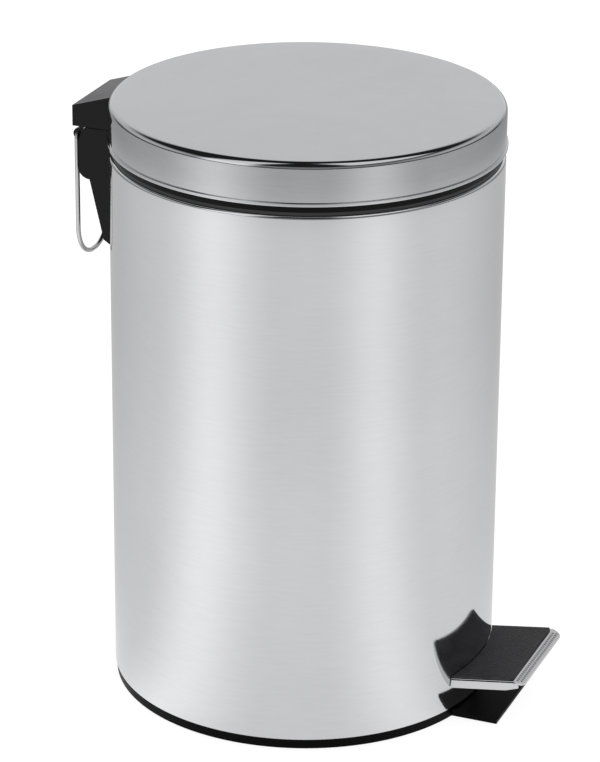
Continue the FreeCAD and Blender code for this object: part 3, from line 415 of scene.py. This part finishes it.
def collar_plastic(name):
    """Smooth black plastic with painted light and shade: a lighter band where light reaches it,
    between the lid's edge and the shell, and painted shade above that band, under the lid's edge.
    """
    material, nodes, shader, place = new_material(name, specular=0.12)
    height = nodes.add("ShaderNodeSeparateXYZ", {0: place}).outputs[2]
    band_low, band_high, soft = lid_low.z - 6.9 * MM, lid_low.z - 4.2 * MM, 0.3 * MM
    # Painted light: the collar is lighter only in this band. Above it, under the lid's edge, it stays
    # dark as painted shade.
    lit_band = nodes.band(height, band_low, band_high, soft)
    cloud = nodes.noise(place, 60.0, 3.0)
    grain = nodes.noise(place, 1800.0, 2.0, 0.6)
    tone = nodes.product(lit_band, nodes.range(cloud, 0.2, 0.8, 0.8, 1.1))
    connect(
        nodes, shader,
        color=nodes.colours(tone, grey(0.002), grey(0.045)),
        roughness=nodes.range(cloud, 0.3, 0.7, 0.3, 0.42),
        normal=nodes.bump(grain, 0.35, 0.04 * MM),
    )
    return material


def rubber_pad(name):
    """The tread's rubber: a stippled grain, dusty in patches where shoes rest."""
    material, nodes, shader, place = new_material(name, specular=0.3)
    dust_and_sheen = nodes.noise(place, 70.0, 5.0, 0.65)
    stipple = nodes.add("ShaderNodeTexVoronoi", {"Vector": place, "Scale": 900.0}).outputs["Distance"]
    fleck = nodes.noise(place, 520.0, 2.0)
    tone = nodes.sum(nodes.product(dust_and_sheen, 0.7), nodes.product(fleck, 0.3))
    connect(
        nodes, shader,
        color=nodes.colours(nodes.range(tone, 0.38, 0.66), grey(0.018, 1.15), grey(0.058, 1.1)),
        roughness=nodes.range(dust_and_sheen, 0.3, 0.7, 0.45, 0.7),
        normal=nodes.bump(nodes.sum(stipple, fleck), 0.4, 0.4 * MM),
    )
    return material


def chrome(name, tint):
    """Bright plating with faint waviness and a few dull specks."""
    material, nodes, shader, place = new_material(name, metallic=1.0)
    wave = nodes.noise(place, 60.0, 2.0)
    speck = nodes.range(nodes.noise(place, 900.0, 1.0), 0.68, 0.75)
    polish = nodes.range(wave, 0.3, 0.7, 0.10, 0.17)
    connect(
        nodes, shader,
        color=nodes.colours(wave, tuple(part * 0.92 for part in tint), tint),
        roughness=nodes.sum(polish, nodes.product(speck, 0.2)),
        normal=nodes.bump(wave, 0.05, 0.4 * MM),
    )
    return material


ROUND_GRAIN = (60, 60, 700)
LONG_GRAIN = (300, 60, 300)
STEEL_BODY = steel("polished_steel", dark=(0.61, 0.61, 0.625), light=(0.645, 0.65, 0.66),
                   rough=0.05, spread=0.05, grain=ROUND_GRAIN)
STEEL_LID = steel("polished_lid", dark=(0.535, 0.54, 0.555), light=(0.565, 0.57, 0.585),
                  rough=0.045, spread=0.05, grain=ROUND_GRAIN)
ZINC = steel("zinc_plate", dark=(0.45, 0.45, 0.44), light=(0.58, 0.58, 0.56),
             rough=0.25, spread=0.15, grain=LONG_GRAIN)
CHROME = chrome("chrome", (0.57, 0.57, 0.58))
WIRE = chrome("drawn_wire", (0.62, 0.62, 0.63))
BASE_PLASTIC = moulded("base_plastic", grey(0.001), grey(0.0025), rough=0.36, grain_size=2600.0,
                       depth=0.08 * MM, specular=0.05)
COLLAR_PLASTIC = collar_plastic("collar_plastic")
HINGE_PLASTIC = moulded("hinge_plastic", grey(0.002, 1.2), grey(0.004, 1.2), rough=0.28,
                        grain_size=2600.0, depth=0.08 * MM, specular=0.18, dust_and_sheen=0.075)
BUCKET_PLASTIC = moulded("bucket_plastic", grey(0.014), grey(0.024), rough=0.40, grain_size=2200.0,
                         depth=0.1 * MM)
PAD_RUBBER = rubber_pad("pad_rubber")
FOOT_RUBBER = moulded("foot_rubber", grey(0.02), grey(0.03), rough=0.7, grain_size=1500.0,
                      depth=0.2 * MM)


# ---------------------------------------------------------------- steel shell, lid and bucket

def make_shell():
    """The steel tube: curled in at the top, hemmed at the bottom, with the lever's slot and, at the
    back, the window for the push rod."""
    inner = RADIUS - SHEET
    hem = RADIUS - 1.4 * MM
    low, high = shell_low.z, shell_high.z
    curl = 2.0 * MM
    slot_low, slot_high = 9.5 * MM, 31.5 * MM
    hem_top = low + 6.0 * MM
    window_low = 334.0 * MM
    corners = [
        (hem, low),
        (RADIUS, low, 1.2 * MM),
        (RADIUS, slot_low),
        (RADIUS, slot_high),
        (RADIUS, window_low),
        (RADIUS, high, curl),
        (RADIUS - curl, high),
        (RADIUS - curl, high - SHEET),
        (inner, high - SHEET, curl - SHEET),
        (inner, window_low),
        (inner, slot_high),
        (inner, hem_top),
        (hem, hem_top),
        (hem, slot_low),
    ]
    slot = (FRONT, math.asin(13.0 * MM / RADIUS), slot_low, slot_high)
    window = (BACK, math.asin(8.5 * MM / RADIUS), window_low, high)
    return lathe("shell_skin", rounded(corners), 256, (slot, window))


def make_lid():
    """The pressed lid: a flat top, a soft shoulder, a skirt and a rolled edge, with a slot at the
    back for the bracket's web."""
    inner = RADIUS - SHEET
    low, high = lid_low.z, lid_high.z
    hem = 120.6 * MM
    bead = lid_high.x
    bead_top = low + 2.4 * MM
    slot_top = 384.0 * MM
    corner = 4.7 * MM
    corners = [
        (hem, low),
        (bead, low, 0.7 * MM),
        (bead, bead_top - 0.08 * MM, 0.4 * MM),
        (RADIUS, bead_top, 0.15 * MM),
        (RADIUS, slot_top),
        (RADIUS, high - 0.25 * MM, corner),
        (112.0 * MM, high, 60.0 * MM),
        (0, high),
        (0, high - SHEET),
        (112.0 * MM, high - SHEET),
        (inner, high - 0.25 * MM - SHEET, corner - SHEET),
        (inner, slot_top),
        (inner, low + 0.9 * MM),
        (hem, low + 0.9 * MM),
    ]
    slot = (BACK, math.asin(1.8 * MM / RADIUS), low - MM, slot_top)
    return lathe("lid_skin", rounded(corners), 256, (slot,))


def make_bucket():
    """The lift-out plastic bucket, with a broad rim."""
    low = bucket_low.z
    foot, mouth, rim = 98.5 * MM, 105.0 * MM, bucket_high.x
    wall = 1.8 * MM
    neck, rim_low, rim_high = 358.0 * MM, 361.0 * MM, 363.0 * MM
    corners = [
        (0, low),
        (foot, low, 3.5 * MM),
        (mouth, neck),
        (mouth, rim_low, 0.8 * MM),
        (rim, rim_low, 0.6 * MM),
        (rim, rim_high, 0.8 * MM),
        (mouth - wall, rim_high, 0.8 * MM),
        (mouth - wall, neck),
        (foot - wall, low + wall, 3.0 * MM),
        (0, low + wall),
    ]
    bucket = lathe("bucket_liner", rounded(corners), 160)
    add_lugs(bucket.data)
    return bucket


def add_lugs(mesh):
    """Two lugs on the rim, which hold the ends of the wire handle."""
    shape = bmesh.new()
    shape.from_mesh(mesh)
    thick, broad, foot, out = 3.0 * MM, 10.0 * MM, 362.5 * MM, 107.0 * MM
    for side in (-1, 1):
        size = (thick, broad, bucket_high.z - foot)
        centre = (side * out, 0, (bucket_high.z + foot) / 2)
        place = Matrix.Translation(centre) @ Matrix.Diagonal((*size, 1))
        lug = bmesh.ops.create_cube(shape, size=1.0, matrix=place)
        edges = list({edge for vert in lug["verts"] for edge in vert.link_edges})
        bmesh.ops.bevel(shape, geom=edges, offset=0.8 * MM, segments=3, affect="EDGES", profile=0.5)
    shape.to_mesh(mesh)
    shape.free()


# ---------------------------------------------------------------- pedal

def tread_root(x):
    """Where the tread starts, beside the shell."""
    return TREAD_BACK - math.sqrt(TREAD_INNER ** 2 - x ** 2)


def tread_grid(side, front, corner, across, along):
    """Points of a tread seen from above, as rows from the shell to the front. The inner edge hugs
    the shell and the front corners are round."""
    rows = []
    for step in range(along + 1):
        share = step / along
        row = []
        for place in range(across + 1):
            turn = -1 + 2 * place / across
            x = side * turn
            edge = abs(x) - (side - corner)
            end = front if edge <= 0 else front - corner + math.sqrt(max(corner ** 2 - edge ** 2, 0))
            root = tread_root(x)
            row.append((x, root + (-end - root) * share))
        rows.append(row)
    return rows


def sheet_mesh(name, rows, height, thickness):
    """A closed plate: its top follows height(x, y) and its underside lies a thickness below."""
    shape = bmesh.new()
    top = [[shape.verts.new((x, y, height(x, y))) for x, y in row] for row in rows]
    under = [[shape.verts.new((x, y, height(x, y) - thickness)) for x, y in row] for row in rows]
    last = len(rows) - 1
    end = len(rows[0]) - 1
    for row in range(last):
        for place in range(end):
            here, ahead = top[row], top[row + 1]
            shape.faces.new((here[place], ahead[place], ahead[place + 1], here[place + 1]))
            here, ahead = under[row], under[row + 1]
            shape.faces.new((here[place], here[place + 1], ahead[place + 1], ahead[place]))
    for row in range(last):
        shape.faces.new((top[row][0], under[row][0], under[row + 1][0], top[row + 1][0]))
        shape.faces.new((top[row][end], top[row + 1][end], under[row + 1][end], under[row][end]))
    for place in range(end):
        beside = place + 1
        shape.faces.new((top[0][place], top[0][beside], under[0][beside], under[0][place]))
        shape.faces.new((top[last][place], under[last][place], under[last][beside], top[last][beside]))
    mesh = bpy.data.meshes.new(name)
    shape.to_mesh(mesh)
    shape.free()
    return mesh


def smooth(mesh, degrees=35):
    """Smooth shading, with sharp edges where faces turn by more than so many degrees."""
    mesh.shade_smooth()
    mesh.set_sharp_from_angle(angle=math.radians(degrees))


def make_plate():
    """The chromed tread: a flat plate, a sloping lip with a knurled band, and a skirt each side."""
    side, front, corner = TREAD_SIDE, 46.2 * MM, 5.0 * MM
    lip, drop, wall, skirt = 40.0 * MM, 2.8 * MM, 1.2 * MM, 6.5 * MM

    def height(x, y):
        return -max(0.0, -y - lip) / (front - lip) * drop

    rows = tread_grid(side, front, corner, across=160, along=96)
    shape = bmesh.new()
    shape.from_mesh(sheet_mesh("tread_plate", rows, height, wall))
    plain_end = 3.0 * MM
    add_knurl(shape, side - plain_end, lip, front, drop)
    for edge in (-1, 1):
        add_skirt(shape, edge * side, edge * (side - wall), skirt)
    mesh = bpy.data.meshes.new("tread_plate")
    shape.transform(TREAD_PLACE)
    shape.to_mesh(mesh)
    shape.free()
    smooth(mesh)
    return add_object("tread_plate", mesh)


def add_knurl(shape, half, lip, front, drop):
    """Two rows of small raised beads on the sloping lip, the second shifted by half a step."""
    count = 30
    bead = Matrix.Diagonal((0.85 * MM, 0.95 * MM, 0.42 * MM, 1))
    slope = Matrix.Rotation(math.atan2(drop, front - lip), 4, "X")
    for row, share in enumerate((0.28, 0.62)):
        y = -(lip + (front - lip) * share)
        z = -drop * share
        for step in range(count):
            x = -half + 2 * half * (step + 0.5 * (row % 2) + 0.25) / count
            place = Matrix.Translation((x, y, z)) @ slope @ bead
            bmesh.ops.create_icosphere(shape, subdivisions=2, radius=1.0, matrix=place)


def add_skirt(shape, outer, inner, skirt):
    """One side of the tread, turned down: it tapers towards the lip and ends under it."""
    root = tread_root(outer)
    taper, lip, tip = -34.0 * MM, -39.8 * MM, -42.6 * MM
    under_plate, under_lip, tip_low = -0.3 * MM, -1.6 * MM, -4.8 * MM
    outline = [(root, under_plate), (root, -skirt), (taper, -skirt), (tip, tip_low),
               (tip, under_lip), (lip, under_plate)]
    near = [shape.verts.new((outer, y, z)) for y, z in outline]
    far = [shape.verts.new((inner, y, z)) for y, z in outline]
    if outer > 0:
        near, far = far, near
    shape.faces.new(near)
    shape.faces.new(far[::-1])
    count = len(outline)
    for index in range(count):
        after = (index + 1) % count
        shape.faces.new((near[after], near[index], far[index], far[after]))


def make_pad():
    """The rubber pad: soft edges and a stippled top."""
    side, front, corner = TREAD_SIDE - 0.8 * MM, 39.4 * MM, 3.0 * MM
    lift, thick, soft = 0.03 * MM, 1.6 * MM, 0.5 * MM
    spacing, dot_radius, dot_height, bare_edge = 2.6 * MM, 0.8 * MM, 0.22 * MM, 2.0 * MM
    row_step = spacing * math.sqrt(3) / 2

    def height(x, y):
        shell_gap = math.hypot(x, y - TREAD_BACK) - TREAD_INNER
        reach = min(side - abs(x), front + y, shell_gap)
        fall = max(0.0, soft - max(reach, 0.0)) / soft
        column = x / spacing
        row = y / row_step
        shift = 0.5 * (round(row) % 2)
        away = math.hypot((column - shift - round(column - shift)) * spacing,
                          (row - round(row)) * row_step)
        dome = max(0.0, 1 - (away / dot_radius) ** 2) * dot_height
        return thick - soft * 0.6 * fall ** 2 + (dome if reach > bare_edge else 0.0)

    rows = tread_grid(side, front, corner, across=240, along=130)
    mesh = sheet_mesh("tread_pad", rows, height, thick - lift)
    mesh.transform(TREAD_PLACE)
    smooth(mesh, 50)
    return add_object("tread_pad", mesh)


# ---------------------------------------------------------------- handles

def make_handle():
    """The carrying handle on the back. Its ends turn inwards, into the housing's ears."""
    y = (handle_low.y + handle_high.y) / 2 - AXIS.translation.y
    radius = (handle_high.y - handle_low.y) / 2
    side, end, top, bottom = 23.5 * MM, 15.8 * MM, 357.0 * MM, 272.5 * MM
    corner, bend = 22.0 * MM, 2.5 * MM
    path = [((end, y, top), 0), ((side, y, top), bend), ((side, y, bottom), corner),
            ((-side, y, bottom), corner), ((-side, y, top), bend), ((-end, y, top), 0)]
    return wire("handle_wire", path, radius, bends=24)


def make_bail():
    """The bucket's wire handle: a half circle from lug to lug, lying towards the pedal."""
    z = (bail_low.z + bail_high.z) / 2
    radius, bend, end, thick = 101.0 * MM, 4.0 * MM, 109.6 * MM, 3.0 * MM
    path = [((end, 0, z), 0), ((radius, 0, z), bend), ((radius, -bend * 1.02, z), 0)]
    steps = 64
    for step in range(1, steps):
        angle = math.pi * step / steps
        path.append(((radius * math.cos(angle), -bend - radius * math.sin(angle), z), 0))
    path += [((-radius, -bend * 1.02, z), 0), ((-radius, 0, z), bend), ((-end, 0, z), 0)]
    return wire("bail_wire", path, thick / 2)


# ---------------------------------------------------------------- pieces and their bodies

def keep_cad(names, material):
    """CAD pieces that keep their mesh and get a material."""
    for name in names:
        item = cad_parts[name]
        item.data.materials.clear()
        item.data.materials.append(material)


finish_piece(make_shell(), "bin", STEEL_BODY, "steel_shell", "outer_shell")
finish_piece(make_lid(), "lid", STEEL_LID, "steel_lid", "lid_shell")
finish_piece(make_bucket(), "bucket", BUCKET_PLASTIC, "bucket_plastic", "inner_bucket")
finish_piece(make_plate(), "pedal", CHROME, "chromed_steel", "pedal_plate")
finish_piece(make_pad(), "pedal", PAD_RUBBER, "pedal_rubber", "pedal_pad")
finish_piece(make_handle(), "handle", CHROME, "chromed_steel", "carry_handle")
finish_piece(make_bail(), "bucket_handle", WIRE, "plain_steel", "bucket_bail")

keep_cad(["base_pan"], BASE_PLASTIC)
keep_cad(["top_collar"], COLLAR_PLASTIC)
keep_cad(["hinge_cover", "hinge_housing", "rod_guide"], HINGE_PLASTIC)
keep_cad(["anti_slip_pads", "lid_buffers"], FOOT_RUBBER)
keep_cad(["pedal_lever", "lid_bracket"], ZINC)
keep_cad(["pedal_rivets", "axle_clips", "push_rod", "rod_clips", "cover_screws", "housing_screws",
          "pedal_axle", "hinge_pin"], WIRE)


# ---------------------------------------------------------------- floor, light and camera

def around(nodes, place):
    """Azimuth seen from the bin, in degrees from the camera's side and positive to its right, and
    the distance from the axis."""
    turned = nodes.add("ShaderNodeVectorRotate", {
        "Vector": place, "Axis": (0, 0, 1), "Angle": math.radians(90) - VIEW}).outputs[0]
    x, y, z = nodes.add("ShaderNodeSeparateXYZ", {0: turned}).outputs
    azimuth = nodes.product(nodes.maths("ARCTAN2", y, x), DEGREES)
    reach = nodes.maths("SQRT", nodes.sum(nodes.product(x, x), nodes.product(y, y)))
    return azimuth, reach, z


def make_floor():
    """A plain white floor. In reflections it has two soft pools of light, left and right of the
    camera, and it gets darker away from the bin and behind it."""
    radius, count = 9.0, 96
    ring = [TURN * step / count for step in range(count)]
    mesh = bpy.data.meshes.new("floor")
    rim = [(radius * math.cos(angle), radius * math.sin(angle), 0) for angle in ring]
    mesh.from_pydata(rim, [], [list(range(count))])
    floor = add_object("floor", mesh)
    material, nodes, shader, place = new_material("floor_white")
    tone = nodes.noise(place, 3.0, 2.0)
    connect(nodes, shader, color=nodes.colours(tone, grey(0.28), grey(0.30)))
    shader.inputs["Roughness"].default_value = 0.9
    azimuth, reach, _ = around(nodes, place)
    away = nodes.range(reach, 1.08, 1.2, smooth=True)

    def near_and_far(near, far):
        return nodes.range(away, 0, 1, near, far)

    left = nodes.band(azimuth, -66, -38, 24)
    right = nodes.band(azimuth, 28, 48, 20)
    rear = nodes.range(nodes.maths("ABSOLUTE", azimuth), 75, 165, smooth=True)
    close = nodes.range(reach, 0.35, 0.75, 1.0, 0.0, smooth=True)
    painted = nodes.sum(
        near_and_far(0.66, 0.35),
        nodes.product(left, near_and_far(0.42, 0.5)),
        nodes.product(right, near_and_far(0.3, 0.4)),
        nodes.product(rear, near_and_far(-0.32, -0.22)),
        nodes.product(close, 0.06),
    )
    path = nodes.add("ShaderNodeLightPath")
    mirrored = path.outputs["Is Glossy Ray"]
    plain = nodes.product(nodes.maths("SUBTRACT", 1.0, mirrored), 0.86)
    glow = nodes.sum(plain, nodes.product(mirrored, painted))
    shader.inputs["Emission Color"].default_value = (1, 1, 1, 1)
    nodes.tree.links.new(glow, shader.inputs["Emission Strength"])
    mesh.materials.append(material)
    floor.matrix_world = AXIS


def make_world():
    """A studio seen by reflections: bright behind the bin, pale low walls all round, dark above,
    with a tall soft light to the left of the camera and a high one to its right."""
    world = bpy.data.worlds.new("studio")
    bpy.context.scene.world = world
    world.use_nodes = True
    nodes = Nodes(world.node_tree)
    azimuth, _, height = around(nodes, nodes.add("ShaderNodeTexCoord").outputs["Generated"])
    elevation = nodes.product(nodes.maths("ARCSINE", height), DEGREES)
    aside = nodes.maths("ABSOLUTE", azimuth)
    behind = nodes.range(aside, 130, 160, smooth=True)
    low = nodes.range(elevation, 38, 50, 1.0, 0.0, smooth=True)
    left = nodes.product(nodes.band(azimuth, -62, -32, 6), nodes.band(elevation, 4, 80, 5))
    right = nodes.product(nodes.band(azimuth, 28, 92, 6), nodes.band(elevation, 42, 85, 5))
    walls = nodes.product(nodes.maths("SUBTRACT", 1.0, behind), nodes.band(elevation, 8, 30, 8),
                          nodes.range(aside, 40, 100, 0.35, 0.8, smooth=True))
    mirrored = nodes.sum(0.02, walls, nodes.product(behind, low, 0.98),
                         nodes.product(left, 1.2), nodes.product(right, 1.2))
    glossy = nodes.add("ShaderNodeLightPath").outputs["Is Glossy Ray"]
    plain = nodes.product(nodes.maths("SUBTRACT", 1.0, glossy), 0.9)
    strength = nodes.sum(plain, nodes.product(glossy, mirrored))
    background = nodes.add("ShaderNodeBackground", {"Strength": strength})
    output = nodes.add("ShaderNodeOutputWorld")
    nodes.tree.links.new(background.outputs[0], output.inputs[0])


def make_camera():
    """The camera stands about two metres away and one metre up, and looks down at the bin."""
    distance, height, down, roll = 2.0784, 1.0626, 0.3926, 0.0088
    camera = bpy.data.cameras.new("camera")
    camera.lens = 164.34
    camera.sensor_width = 36
    camera.shift_x = -0.0073
    item = add_object("camera", camera)
    item.location = AXIS @ Vector((distance * math.sin(VIEW), -distance * math.cos(VIEW), height))
    look = Matrix.Rotation(VIEW, 4, "Z") @ Matrix.Rotation(math.radians(90) - down, 4, "X")
    item.rotation_euler = (look @ Matrix.Rotation(roll, 4, "Z")).to_euler()
    bpy.context.scene.camera = item


make_floor()
make_world()
make_camera()
bpy.context.scene.view_settings.view_transform = "Standard"
